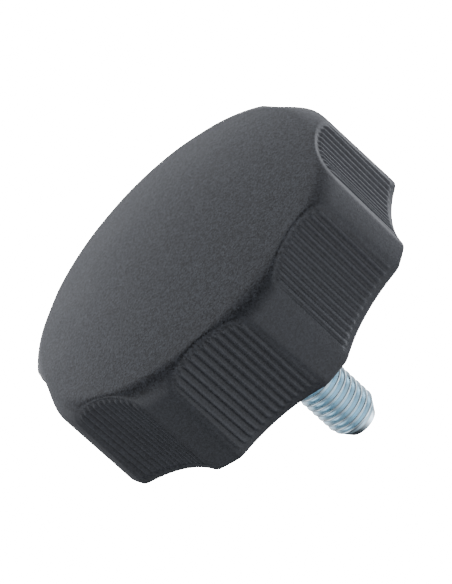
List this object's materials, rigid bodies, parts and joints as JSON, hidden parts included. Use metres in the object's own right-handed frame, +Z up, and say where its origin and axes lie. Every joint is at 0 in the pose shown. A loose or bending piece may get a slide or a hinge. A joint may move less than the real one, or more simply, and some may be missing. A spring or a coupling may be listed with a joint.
{
  "type": "lobed hand knob",
  "caption": "Lobed hand knob of black moulded plastic with ribbed finger scallops and a threaded steel stud, turned by hand to clamp or adjust.",
  "frame": {"origin": "on the knob's axis, in the plane of the hub face that the stud leaves", "axes": "+Z up the axis towards the domed top, with the stud pointing to -Z; +X through the middle of one lobe"},
  "size_m": [0.0687, 0.0696, 0.0539],
  "materials": {
    "grip": "fine-grained black moulding",
    "threaded_stud": "blue-white zinc plating"
  },
  "bodies": {
    "root": {"grip": "grip", "threaded_stud": "threaded_stud"}
  },
  "joints": []
}
